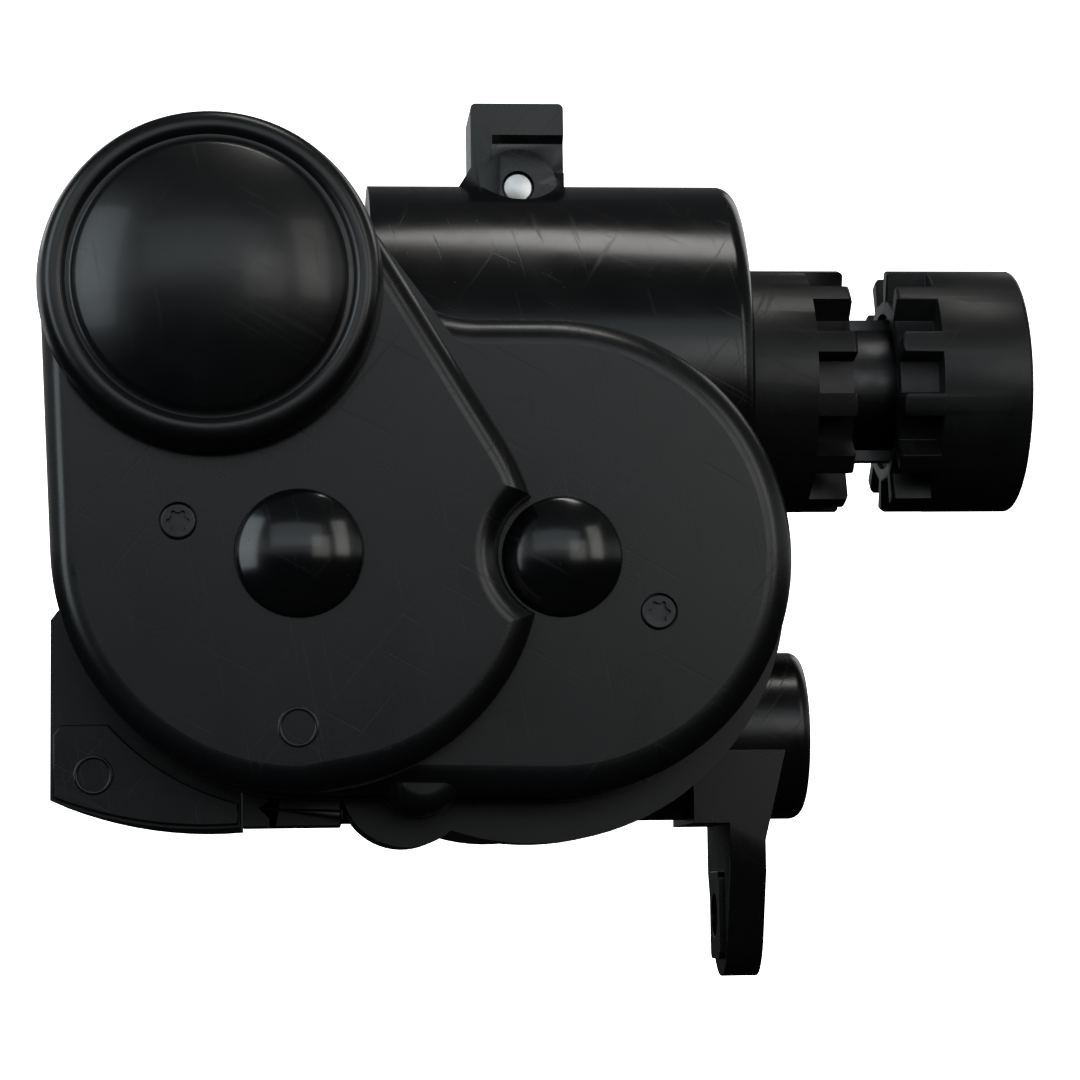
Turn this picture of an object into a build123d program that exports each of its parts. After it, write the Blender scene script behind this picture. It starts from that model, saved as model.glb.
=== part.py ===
from build123d import *
from math import cos, pi, radians, sin, sqrt, tan
import os

os.makedirs("parts", exist_ok=True)

# Frame: X runs along the output shaft, Y away from the front cover, Z up.
# The origin is on the output axis, at the open end of the coupling sleeve.

# ---------------------------------------------------------------- sizes, millimetres
fit = 0.05  # radial running clearance of every turning shaft
slip = 0.15  # radial clearance of loose screws and covers

# output axis, from the sleeve's open end towards the motor
sleeve_r = 22.8
sleeve_length = 24.0
dog_count = 12
dog_pocket_angle = 19.6
dog_pocket_depth = 7.4
dog_root_r = 17.4
dog_floor_r = 14.6
ring_gap = 8.4
lock_ring_length = 21.0
output_r = 11.6
coupling_bore_r = 8.0
coupling_bore_depth = 16.0
key_width = 4.0
key_height = 1.8
sleeve_travel = 7.8

sleeve_left = -sleeve_length
lock_right = sleeve_left - ring_gap
lock_left = lock_right - lock_ring_length

# worm barrel, round about the output axis
barrel_r = 38.4
barrel_wall = 3.4
barrel_right = lock_left
barrel_length = 68.0
barrel_end_wall = 5.0
barrel_left = barrel_right - barrel_length
barrel_plug = 8.0

# gear shafts, all along Y: X and Z of each
second_x = barrel_left + 31.0
second_z = -37.3
gear_module = 1.5
second_teeth = 45
second_pinion_teeth = 14
first_teeth = 40
motor_teeth = 23
first_distance = gear_module * (second_teeth + second_pinion_teeth) / 2
motor_distance = gear_module * (first_teeth + motor_teeth) / 2
first_x = second_x - first_distance
first_z = second_z
motor_rise = 45.0
motor_x = first_x - sqrt(motor_distance**2 - motor_rise**2)
motor_z = first_z + motor_rise

# depths along Y
cover_rear = -42.0
right_face = -58.0
left_face = -66.0
cap_face = -74.6
cap_crown = -80.5
cap_seal_thick = 0.5
cap_seat = left_face - cap_seal_thick
cover_wall = 2.4
gasket_thick = 0.6
housing_front = cover_rear + gasket_thick
housing_rear = 26.0
case_rear = -14.0
case_wall = 2.6

# outline radii of the front cover
motor_lobe_r = 28.5
first_lobe_r = 41.6
first_lobe_x = first_x + 0.5
first_lobe_z = first_z + 2.3
raised_r = 37.3
raised_x = first_x + 3.1
raised_z = first_z - 0.9
second_lobe_r = 40.8
second_lobe_x = second_x - 1.0
second_lobe_z = second_z + 0.6
bite_gap = 1.0
bite_wall = 1.4
drum_r = 44.3
drum_x = second_x - 3.9
drum_z = second_z - 3.5
drum_rear = -24.0
back_x = second_x - 8.4
back_z = second_z - 14.4
bump_r = 7.3
bump_x = second_x - 23.8
bump_z = second_z - 35.3
bump_blend = 2.0
boss_r = 11.4
flange_step = 0.6

# gear planes
first_front = -60.0
first_rear = -55.2
pinion_front = -54.6
pinion_rear = -46.4
second_front = -52.6
second_rear = -47.0
axle_r = 3.0
axle_bearing_length = 6.0
worm_shaft_r = 4.0
worm_bearing_r = worm_shaft_r + 3.0
axle_bearing_r = axle_r + 2.4
worm_bearing_length = 6.0

# worm and worm wheel
worm_module = 1.8
wheel_teeth = 32
wheel_r = worm_module * wheel_teeth / 2
wheel_width = 9.0
worm_r = -second_z - wheel_r
worm_wave = 1.4
worm_lead = pi * worm_module
worm_turns = 4
worm_length = worm_lead * worm_turns
worm_chamber_r = worm_r + worm_wave + 1.2

# motor
can_r = 24.0
can_front = -52.0
can_rear = -6.0
can_wall = 1.6
magnet_thick = 4.0
rotor_r = 16.2
motor_shaft_r = 2.0
motor_lobe_rear = can_rear + case_wall + 0.4

# lower tube and lever
tube_r = 15.5
tube_z = second_z - worm_r - worm_wave - 2.2 - tube_r
tube_bore_r = 11.0
tube_right = -41.4
tube_length = 98.0
tube_left = tube_right - tube_length
bush_wall = 1.4
bush_length = 10.0
back_r = back_z - tube_z + tube_r + bush_wall + 2.3
lever_thick = 6.6
lever_left = -57.0
lever_crank = 4.0
lever_hub_r = 19.0
lever_reach = 33.1
lever_end_r = 11.2
lever_eye_r = 4.0
eye_bush_wall = 1.2
eye_flange = 1.0
eye_flange_width = 12.0
eye_flange_height = 16.0

# lug on top of the barrel
lug_x = barrel_left + 28.1
lug_width = 17.4
lug_depth = 16.0
lug_top = 53.4
lug_corner_r = 1.0
lug_foot = 2.4
lug_recess_left = 4.0
lug_recess_top = 6.0
lug_recess_bottom = 13.2
lug_recess_depth = 1.4
lug_boss_r = 7.2
lug_boss_rise = 1.0
lug_pin_z = 37.3
lug_pin_r = 3.0
lug_pin_sink = 0.7
lug_groove_r = 7.6
lug_groove_rise = 2.7

# lower-left corner box
corner_left = first_x - 42.4
corner_right = first_x - 10.2
corner_top = second_z - 7.0
corner_bottom = second_z - 44.4
corner_rise = 4.9
corner_panel_top = second_z - 26.7
corner_rear = 4.0
panel_raise = 1.2
panel_gap = 2.4
rib_left = first_x - 9.8
rib_right = first_x - 5.2
latch_left = first_x - 4.3
latch_right = first_x + 7.1
latch_rear = -22.0
latch_back = -36.0

# case screws and the mounting holes in the back
case_screw_bite = 8.5
left_screw_seat = case_rear - 3.0
lower_screw_seat = -tube_r - bush_wall - 4.6
mount_circle_r = 20.5
mount_hole_r = 2.1
mount_hole_z = second_z - 19.4
mount_hole_depth = 8.0


def tooth_points(radius, tip, root, half_tip, half_pitch, half_root):
    """One straight-flanked tooth, pointing along the sketch's X."""
    return [
        (root - 0.6, -half_root),
        (radius, -half_pitch),
        (radius + tip, -half_tip),
        (radius + tip, half_tip),
        (radius, half_pitch),
        (root - 0.6, half_root),
    ]


# The front cover's outline, used by the cover, the gasket and the housing: a
# hull round the motor and the first gear, the second gear's lobe with a level
# shoulder above and a level edge below, and the small bump under that edge.
def left_outline(inset):
    with BuildSketch(mode=Mode.PRIVATE) as hulled:
        with Locations((motor_x, motor_z)):
            Circle(motor_lobe_r - inset)
        with Locations((first_lobe_x, first_lobe_z)):
            Circle(first_lobe_r - inset)
        make_hull()
    return hulled.sketch


def right_outline(inset):
    shoulder_z = second_lobe_z + second_lobe_r - inset
    left_x = motor_x + motor_lobe_r - inset
    with BuildSketch(mode=Mode.PRIVATE) as joined:
        with BuildLine():
            bend = ThreePointArc(
                (left_x, motor_z + 6.0),
                (left_x + 7.0, shoulder_z + 2.7),
                (second_x - 13.5, shoulder_z),
            )
            Polyline(
                bend @ 1,
                (second_lobe_x, shoulder_z),
                (second_lobe_x, second_lobe_z - second_lobe_r + inset),
                (first_lobe_x, first_lobe_z - first_lobe_r + inset),
                (first_lobe_x, first_lobe_z),
                bend @ 0,
            )
        make_face()
        with Locations((second_lobe_x, second_lobe_z)):
            Circle(second_lobe_r - inset)
    return joined.sketch


def cover_outline(inset):
    with BuildSketch(mode=Mode.PRIVATE) as whole:
        add(left_outline(inset))
        add(right_outline(inset))
        with Locations((bump_x, bump_z)):
            Circle(bump_r - inset)
        corners = [
            v for v in whole.vertices() if abs(v.X - bump_x) < bump_r and v.Y < bump_z
        ]
        fillet(corners, bump_blend + inset)
    return whole.sketch


def raised_outline(inset):
    """The higher level of the cover, pulled in on the side of the second gear."""
    with BuildSketch(mode=Mode.PRIVATE) as hulled:
        with Locations((first_lobe_x, first_lobe_z)):
            Circle(first_lobe_r - inset)
        with Locations((first_lobe_x, first_lobe_z)):
            Rectangle(
                2 * first_lobe_r,
                4 * first_lobe_r,
                align=(Align.MIN, Align.CENTER),
                mode=Mode.SUBTRACT,
            )
        with Locations((motor_x, motor_z)):
            Circle(motor_lobe_r - inset)
        with Locations((raised_x, raised_z)):
            Circle(raised_r - inset)
        make_hull()
    return hulled.sketch


# ---------------------------------------------------------------- front cover
# One moulding on two levels: the left lobe covers the motor and first gear and
# stands higher than the right lobe over the second gear. Open at the back.
screw_left_x = first_x - 19.9
screw_left_z = first_z + 5.4
screw_right_x = second_x + 16.3
screw_right_z = second_z - 9.4
screw_head_r = 2.95
screw_head_depth = 1.3
screw_r = 1.45
recess_r = screw_head_r + 0.25
cap_dome_r = 10.6
cap_dome_2_r = 10.1
case_screw_r = 1.9
left_post_x = motor_x - 21.5
left_post_z = motor_z - 21.2
post_r = 4.6

bite_r = cap_dome_2_r + bite_gap

# the raised level, bitten away round the second bearing cap
with BuildPart(mode=Mode.PRIVATE) as raised_lobe:
    with BuildSketch(Plane.XZ.offset(-right_face)):
        add(raised_outline(0))
        with Locations((second_x, second_z)):
            Circle(bite_r, mode=Mode.SUBTRACT)
    extrude(amount=right_face - left_face)
    fillet(raised_lobe.faces().sort_by(Axis.Y)[0].edges(), 4.2)

with BuildPart(mode=Mode.PRIVATE) as left_lobe:
    with BuildSketch(Plane.XZ.offset(-cover_rear)):
        add(left_outline(0))
    extrude(amount=cover_rear - right_face)

with BuildPart(mode=Mode.PRIVATE) as lower_lobe:
    with BuildSketch(Plane.XZ.offset(-cover_rear)):
        add(right_outline(0))
    extrude(amount=cover_rear - right_face)
    fillet(lower_lobe.faces().sort_by(Axis.Y)[0].edges(), 5.0)

with BuildPart(mode=Mode.PRIVATE) as bump:
    with BuildSketch(Plane.XZ.offset(-cover_rear)):
        with Locations((bump_x, bump_z)):
            Circle(bump_r)
    extrude(amount=cover_rear - right_face - 1.0)
    fillet(bump.faces().sort_by(Axis.Y)[0].edges(), 3.0)

# the cover's hollow, on two levels, with the bump left solid
level_rear = right_face + cover_wall
with BuildPart(mode=Mode.PRIVATE) as cover_hollow:
    with BuildSketch(Plane.XZ.offset(-cover_rear)):
        add(right_outline(cover_wall))
        add(left_outline(cover_wall))
    extrude(amount=cover_rear - level_rear)
    with BuildSketch(Plane.XZ.offset(-level_rear)):
        add(raised_outline(cover_wall))
        with Locations((second_x, second_z)):
            Circle(bite_r + bite_wall, mode=Mode.SUBTRACT)
    extrude(amount=right_face - left_face)
    with BuildSketch(Plane.XZ.offset(-cover_rear)):
        with Locations((bump_x, bump_z)):
            Circle(bump_r)
        with Locations((first_x, first_z)):
            Circle(gear_module * first_teeth / 2 + 2.4, mode=Mode.SUBTRACT)
        with Locations((second_x, second_z)):
            Circle(gear_module * second_teeth / 2 + 2.4, mode=Mode.SUBTRACT)
    extrude(amount=cover_rear - left_face, mode=Mode.SUBTRACT)

with BuildPart() as front_cover:
    add(lower_lobe.part)
    add(left_lobe.part)
    add(bump.part)
    add(raised_lobe.part)
    # narrow flange round the back edge
    with BuildSketch(Plane.XZ.offset(-cover_rear)):
        add(cover_outline(-flange_step))
    extrude(amount=1.6)
    add(cover_hollow.part, mode=Mode.SUBTRACT)
    # post that takes the left case screw
    with BuildSketch(Plane.XZ.offset(-cover_rear)):
        with Locations((left_post_x, left_post_z)):
            Circle(post_r)
    extrude(amount=cover_rear - left_face - cover_wall)
    # bearing cap windows, screw recesses and screw holes
    with BuildSketch(Plane.XZ.offset(-cover_rear)):
        with Locations((first_x, first_z)):
            Circle(cap_dome_r + slip)
        with Locations((second_x, second_z)):
            Circle(cap_dome_2_r + slip)
        with Locations((screw_left_x, screw_left_z), (screw_right_x, screw_right_z)):
            Circle(screw_r + slip)
    extrude(amount=cover_rear - left_face + 1, mode=Mode.SUBTRACT)
    with BuildSketch(Plane.XZ.offset(-left_face)):
        with Locations((screw_left_x, screw_left_z)):
            Circle(recess_r)
    extrude(amount=-screw_head_depth, mode=Mode.SUBTRACT)
    with BuildSketch(Plane.XZ.offset(-right_face)):
        with Locations((screw_right_x, screw_right_z)):
            Circle(recess_r)
    extrude(amount=-screw_head_depth, mode=Mode.SUBTRACT)
    # round opening over the motor, closed by the motor cap
    with BuildSketch(Plane.XZ.offset(-cover_rear)):
        with Locations((motor_x, motor_z)):
            Circle(can_r)
    extrude(amount=cover_rear - left_face + 1, mode=Mode.SUBTRACT)
    # pilot holes of the two case screws
    with BuildSketch(Plane.XZ.offset(-cover_rear)):
        with Locations((bump_x, bump_z), (left_post_x, left_post_z)):
            Circle(case_screw_r)
    extrude(amount=9.0, mode=Mode.SUBTRACT)

# ---------------------------------------------------------------- cover gasket
with BuildPart() as cover_gasket:
    with BuildSketch(Plane.XZ.offset(-housing_front)):
        add(cover_outline(0))
        add(cover_outline(cover_wall), mode=Mode.SUBTRACT)
        with Locations((bump_x, bump_z)):
            Circle(bump_r)
        with Locations((left_post_x, left_post_z)):
            Circle(post_r)
        with Locations((bump_x, bump_z), (left_post_x, left_post_z)):
            Circle(case_screw_r + slip, mode=Mode.SUBTRACT)
    extrude(amount=gasket_thick)

# ---------------------------------------------------------------- bearing caps
# A round cap shows through each window, with a plate and one ear inside the
# cover. Its bore is the front bearing of the gear shaft.
cap_plate = 1.6
cap_side = 1.2
cap_crown_rise = 3.2


def cap_of(x, z, ear_x, ear_z, dome_r, face, bore_r):
    inner = face + cover_wall
    crown_base = -face + cap_side
    crown_top = crown_base + cap_crown_rise
    ball_r = (dome_r**2 + cap_crown_rise**2) / (2 * cap_crown_rise)
    half_way = crown_top - ball_r + sqrt(ball_r**2 - dome_r**2 / 4)
    with BuildPart(mode=Mode.PRIVATE) as cap:
        with BuildSketch(Plane(origin=(x, 0, z), x_dir=(1, 0, 0), z_dir=(0, 0, -1))):
            with BuildLine():
                Polyline(
                    (0, crown_top),
                    (0, -inner - cap_plate),
                    (dome_r, -inner - cap_plate),
                    (dome_r, crown_base),
                )
                ThreePointArc((dome_r, crown_base), (dome_r / 2, half_way), (0, crown_top))
            make_face()
        revolve(axis=Axis((x, 0, z), (0, 1, 0)))
        with BuildSketch(Plane.XZ.offset(-(inner + cap_plate))):
            with BuildSketch(mode=Mode.PRIVATE) as ear:
                with Locations((x, z)):
                    Circle(dome_r + 1.0)
                with Locations((ear_x, ear_z)):
                    Circle(4.2)
                make_hull()
            add(ear.sketch)
        extrude(amount=cap_plate)
        with BuildSketch(Plane.XZ.offset(-(inner + cap_plate))):
            with Locations((x, z)):
                Circle(bore_r)
        extrude(amount=cap_plate + 3.4, mode=Mode.SUBTRACT)
        with BuildSketch(Plane.XZ.offset(-(inner + cap_plate))):
            with Locations((ear_x, ear_z)):
                Circle(screw_r)
        extrude(amount=cap_plate, mode=Mode.SUBTRACT)
    return cap.part


with BuildPart() as first_bearing_cap:
    add(
        cap_of(
            first_x, first_z, screw_left_x, screw_left_z, cap_dome_r, left_face, axle_r + fit
        )
    )

with BuildPart() as second_bearing_cap:
    add(
        cap_of(
            second_x,
            second_z,
            screw_right_x,
            screw_right_z,
            cap_dome_2_r,
            right_face,
            worm_shaft_r + fit,
        )
    )


# ---------------------------------------------------------------- screws
def cap_screw(x, z, head_front, head_r, head_depth, shank_r, length, socket_r):
    """A six-lobe screw seen from the front, its head flush with head_front."""
    with BuildPart(mode=Mode.PRIVATE) as screw:
        with BuildSketch(Plane.XZ.offset(-(head_front + head_depth))):
            with Locations((x, z)):
                Circle(head_r)
        extrude(amount=head_depth)
        fillet(screw.faces().sort_by(Axis.Y)[0].edges(), 0.35)
        with BuildSketch(Plane.XZ.offset(-(head_front + head_depth + length))):
            with Locations((x, z)):
                Circle(shank_r)
        extrude(amount=length)
        with BuildSketch(Plane.XZ.offset(-head_front)):
            with Locations((x, z)):
                Circle(socket_r * 0.78)
                with PolarLocations(socket_r * 0.8, 6):
                    Circle(socket_r * 0.24)
        extrude(amount=-head_depth * 0.6, mode=Mode.SUBTRACT)
    return screw.part


left_seat = left_face + screw_head_depth
right_seat = right_face + screw_head_depth
left_screw_length = cover_wall - screw_head_depth + cap_plate
with BuildPart() as cover_screw_left:
    add(
        cap_screw(
            screw_left_x,
            screw_left_z,
            left_seat - screw_head_depth + 0.1,
            screw_head_r,
            screw_head_depth - 0.1,
            screw_r,
            left_screw_length,
            1.9,
        )
    )

with BuildPart() as cover_screw_right:
    add(
        cap_screw(
            screw_right_x,
            screw_right_z,
            right_seat - screw_head_depth + 0.1,
            screw_head_r,
            screw_head_depth - 0.1,
            screw_r,
            left_screw_length,
            1.9,
        )
    )

# ---------------------------------------------------------------- motor cap
# Round lid over the motor: a rim with a groove inside it and a shallow crown.
cap_rim_r = 27.5
cap_base_r = 28.6
crown_r = 21.7
crown_rise = cap_face - 0.3 - cap_crown
crown_ball_r = (crown_r**2 + crown_rise**2) / (2 * crown_rise)
crown_ball_y = -cap_crown - crown_ball_r
cap_plane = Plane(origin=(motor_x, 0, motor_z), x_dir=(1, 0, 0), z_dir=(0, 0, -1))
cap_axis = Axis((motor_x, 0, motor_z), (0, 1, 0))
with BuildPart() as motor_cap:
    with BuildSketch(cap_plane):
        with BuildLine():
            Polyline(
                (0, -cap_seat),
                (cap_base_r - 0.6, -cap_seat),
                (cap_base_r - 0.6, -cap_seat + 1.4),
                (cap_base_r, -cap_seat + 2.0),
                (cap_rim_r + 0.5, -cap_seat + 6.6),
                (cap_rim_r, -cap_face - 0.8),
                (cap_rim_r - 0.8, -cap_face),
                (cap_rim_r - 3.0, -cap_face),
                (cap_rim_r - 3.6, -cap_face - 0.9),
                (cap_rim_r - 4.6, -cap_face - 0.9),
                (crown_r, -cap_face + 0.3),
            )
            ThreePointArc(
                (crown_r, -cap_face + 0.3),
                (crown_r / 2, crown_ball_y + sqrt(crown_ball_r**2 - crown_r**2 / 4)),
                (0, -cap_crown),
            )
            Line((0, -cap_crown), (0, -cap_seat))
        make_face()
    revolve(axis=cap_axis)
    with BuildSketch(cap_plane):
        with BuildLine():
            Polyline(
                (0, -cap_seat),
                (can_r - 2.4, -cap_seat),
                (can_r - 2.4, -cap_seat + 5.6),
                (crown_r - 4.0, -cap_seat + 7.4),
                (0, -cap_seat + 9.6),
                (0, -cap_seat),
            )
        make_face()
    revolve(axis=cap_axis, mode=Mode.SUBTRACT)
    # spigot that drops into the cover's round opening
    with BuildSketch(cap_plane):
        with Locations(((can_r - 2.4 + can_r - slip) / 2, -cap_seat - 1.5)):
            Rectangle(2.4 - slip, 3.0)
    revolve(axis=cap_axis)

with BuildPart() as cap_seal:
    with BuildSketch(Plane.XZ.offset(-left_face)):
        with Locations((motor_x, motor_z)):
            Circle(cap_base_r - 0.9)
            Circle(can_r + 0.2, mode=Mode.SUBTRACT)
    extrude(amount=cap_seal_thick)

# ---------------------------------------------------------------- motor
# A round permanent-magnet motor: steel can, two magnets, an end bell with
# brushes at the back, and a rotor whose shaft carries the motor pinion.
bell_thick = 4.0
with BuildPart() as motor_can:
    with BuildSketch(Plane.XZ.offset(-can_rear)):
        with Locations((motor_x, motor_z)):
            Circle(can_r)
    extrude(amount=can_rear - can_front)
    with BuildSketch(Plane.XZ.offset(-can_rear)):
        with Locations((motor_x, motor_z)):
            Circle(can_r - can_wall)
    extrude(amount=can_rear - can_front - can_wall, mode=Mode.SUBTRACT)
    with BuildSketch(Plane.XZ.offset(-can_front)):
        with Locations((motor_x, motor_z)):
            Circle(motor_shaft_r + fit)
    extrude(amount=-can_wall, mode=Mode.SUBTRACT)

with BuildPart() as motor_end_bell:
    with BuildSketch(Plane.XZ.offset(-can_rear)):
        with Locations((motor_x, motor_z)):
            Circle(can_r - can_wall)
            Circle(motor_shaft_r + fit, mode=Mode.SUBTRACT)
    extrude(amount=bell_thick)

magnet_front = can_front + can_wall + 4.0
magnet_rear = can_rear - bell_thick - 9.0
magnet_r = can_r - can_wall


def magnet_of(start):
    with BuildPart(mode=Mode.PRIVATE) as magnet:
        with BuildSketch(Plane.XZ.offset(-magnet_rear)):
            with Locations((motor_x, motor_z)):
                Circle(magnet_r)
                Circle(magnet_r - magnet_thick, mode=Mode.SUBTRACT)
            with Locations((motor_x + start * can_r, motor_z)):
                Rectangle(can_r * 1.5, can_r * 3, mode=Mode.INTERSECT)
        extrude(amount=magnet_rear - magnet_front)
    return magnet.part


with BuildPart() as magnet_left:
    add(magnet_of(-1))

with BuildPart() as magnet_right:
    add(magnet_of(1))

commutator_r = 6.0
commutator_rear = can_rear - bell_thick - 1.0
commutator_length = 7.0
brush_width = 4.0


def brush_of(side):
    with BuildPart(mode=Mode.PRIVATE) as brush:
        inner = commutator_r + fit
        outer = magnet_r
        middle = (inner + outer) / 2
        with Locations(
            (motor_x + side * middle, commutator_rear - commutator_length / 2, motor_z)
        ):
            Box(outer - inner - 0.6, brush_width, brush_width)
    return brush.part


with BuildPart() as brush_left:
    add(brush_of(-1))

with BuildPart() as brush_right:
    add(brush_of(1))

with BuildPart() as rotor_core:
    with BuildSketch(Plane.XZ.offset(-magnet_rear)):
        with Locations((motor_x, motor_z)):
            Circle(rotor_r)
            with PolarLocations(rotor_r - 2.6, 10):
                Rectangle(5.6, 2.6, mode=Mode.SUBTRACT)
            Circle(motor_shaft_r, mode=Mode.SUBTRACT)
    extrude(amount=magnet_rear - magnet_front)

with BuildPart() as commutator:
    with BuildSketch(Plane.XZ.offset(-commutator_rear)):
        with Locations((motor_x, motor_z)):
            Circle(commutator_r)
            Circle(motor_shaft_r, mode=Mode.SUBTRACT)
    extrude(amount=commutator_length)

with BuildPart() as motor_shaft:
    with BuildSketch(Plane.XZ.offset(-can_rear)):
        with Locations((motor_x, motor_z)):
            Circle(motor_shaft_r)
    extrude(amount=can_rear - first_front + 1.0)
    chamfer(motor_shaft.edges().group_by(Axis.Y)[0], 0.4)

# teeth of every spur gear, thin enough to keep clear backlash
tooth_tip = 1.1
tooth_root = 1.5
half_tip = 0.3
half_pitch = 0.72
half_root = 1.15


def spur_gear(x, z, teeth, turn, front, rear, bore):
    radius = gear_module * teeth / 2
    with BuildPart(mode=Mode.PRIVATE) as gear:
        with BuildSketch(Plane.XZ.offset(-rear)):
            with Locations((x, z)):
                Circle(radius - tooth_root)
                with PolarLocations(0, teeth, start_angle=turn):
                    Polygon(
                        *tooth_points(
                            radius,
                            tooth_tip,
                            radius - tooth_root,
                            half_tip,
                            half_pitch,
                            half_root,
                        ),
                        align=None,
                    )
                Circle(bore, mode=Mode.SUBTRACT)
        extrude(amount=rear - front)
    return gear.part


# angle from the first gear's centre to the motor's, and to the second gear's
to_motor = Vector(motor_x - first_x, motor_z - first_z).get_angle(Vector(1, 0))

with BuildPart() as motor_pinion:
    add(
        spur_gear(
            motor_x,
            motor_z,
            motor_teeth,
            to_motor + 180,
            first_front - 0.6,
            first_rear + 0.4,
            motor_shaft_r,
        )
    )

# ---------------------------------------------------------------- first gear
with BuildPart() as first_gear:
    add(
        spur_gear(
            first_x,
            first_z,
            first_teeth,
            to_motor + 180 / first_teeth,
            first_front,
            first_rear,
            axle_r,
        )
    )
    with BuildSketch(Plane.XZ.offset(-first_front)):
        with Locations((first_x, first_z)):
            Circle(gear_module * first_teeth / 2 - 5.0)
            Circle(11.0, mode=Mode.SUBTRACT)
    extrude(amount=-1.2, mode=Mode.SUBTRACT)
    add(
        spur_gear(
            first_x,
            first_z,
            second_pinion_teeth,
            0,
            first_rear - 0.1,
            pinion_rear,
            axle_r,
        )
    )

axle_end = housing_front + axle_bearing_length - 0.6
with BuildPart() as first_axle:
    with BuildSketch(Plane.XZ.offset(-axle_end)):
        with Locations((first_x, first_z)):
            Circle(axle_r)
    extrude(amount=axle_end - (left_face + cover_wall - 2.6))
    chamfer(first_axle.edges().group_by(Axis.Y)[0], 0.4)

# ---------------------------------------------------------------- second gear, worm
with BuildPart() as second_gear:
    add(
        spur_gear(
            second_x,
            second_z,
            second_teeth,
            180 + 180 / second_teeth,
            second_front,
            second_rear,
            worm_shaft_r,
        )
    )
    with BuildSketch(Plane.XZ.offset(-second_front)):
        with Locations((second_x, second_z)):
            Circle(gear_module * second_teeth / 2 - 5.0)
            Circle(12.0, mode=Mode.SUBTRACT)
    extrude(amount=-1.4, mode=Mode.SUBTRACT)

# the worm's thread is an off-centre round section turned along the shaft
worm_rear_end = housing_rear - 2.6
with BuildPart() as worm_shaft:
    with BuildSketch(Plane.XZ.offset(-(worm_rear_end - 0.3))):
        with Locations((second_x, second_z)):
            Circle(worm_shaft_r)
    extrude(amount=worm_rear_end - 0.3 - (right_face + cover_wall - 2.6))
    with BuildSketch(Plane.XZ.offset(worm_length / 2 + 3)):
        with Locations((second_x, second_z)):
            Circle(worm_r - worm_wave)
    extrude(amount=-worm_length - 6)
    with BuildSketch(Plane.XZ.offset(worm_length / 2), mode=Mode.PRIVATE) as section:
        with Locations((second_x, second_z - worm_wave)):
            Circle(worm_r)
    thread = Solid.extrude_linear_with_rotation(
        section.sketch.faces()[0],
        (second_x, -worm_length / 2, second_z),
        (0, worm_length, 0),
        360 * worm_turns,
    )
    add(thread)

# ---------------------------------------------------------------- worm wheel, output shaft
wheel_bore_r = output_r
with BuildPart() as worm_wheel:
    with BuildSketch(Plane.YZ.offset(second_x - wheel_width / 2)):
        Circle(wheel_r - 1.6)
        with PolarLocations(0, wheel_teeth, start_angle=-90):
            Polygon(
                *tooth_points(wheel_r, 1.1, wheel_r - 1.6, 0.18, 0.62, 1.1),
                align=None,
            )
        Circle(wheel_bore_r, mode=Mode.SUBTRACT)
    extrude(amount=wheel_width)
    with BuildSketch(Plane.YZ.offset(second_x + wheel_width / 2)):
        Circle(wheel_r - 5.5)
        Circle(wheel_bore_r + 4.0, mode=Mode.SUBTRACT)
    extrude(amount=-2.0, mode=Mode.SUBTRACT)

shaft_left = barrel_left + 3.0
with BuildPart() as output_shaft:
    with BuildSketch(Plane.YZ.offset(shaft_left)):
        Circle(output_r)
    extrude(amount=-shaft_left)
    chamfer(output_shaft.edges().group_by(Axis.X)[-1], 0.8)
    with BuildSketch(Plane.YZ):
        Circle(coupling_bore_r)
    extrude(amount=-coupling_bore_depth, mode=Mode.SUBTRACT)
    # collar that the worm wheel seats on
    with BuildSketch(Plane.YZ.offset(second_x - wheel_width / 2 - 4.0)):
        Circle(output_r + 3.0)
    extrude(amount=4.0)

key_left = sleeve_left - sleeve_travel
key_length = -5.0 - key_left


def key_at(angle):
    with BuildPart(mode=Mode.PRIVATE) as key:
        with BuildSketch(Plane.YZ.offset(key_left)):
            with PolarLocations(output_r + key_height / 2 - 0.6, 1, start_angle=angle):
                Rectangle(key_height + 1.2, key_width)
            Circle(output_r, mode=Mode.SUBTRACT)
        extrude(amount=key_length)
    return key.part


with BuildPart() as sleeve_key_upper:
    add(key_at(90))

with BuildPart() as sleeve_key_lower:
    add(key_at(270))

with BuildPart() as wheel_circlip:
    with BuildSketch(Plane.YZ.offset(second_x + wheel_width / 2)):
        Circle(output_r + 1.8)
        Circle(output_r, mode=Mode.SUBTRACT)
        with Locations((0, output_r + 1.0)):
            Rectangle(4.0, 5.0, mode=Mode.SUBTRACT)
    extrude(amount=1.2)

# ---------------------------------------------------------------- coupling sleeve
def dog_pockets(outer, inner, angle):
    """A radial-sided sector about the shaft, from inner to outer radius."""
    half = radians(angle) / 2
    return [
        (inner * cos(half), -inner * sin(half)),
        (outer, -outer * tan(half)),
        (outer, outer * tan(half)),
        (inner * cos(half), inner * sin(half)),
    ]


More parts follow.
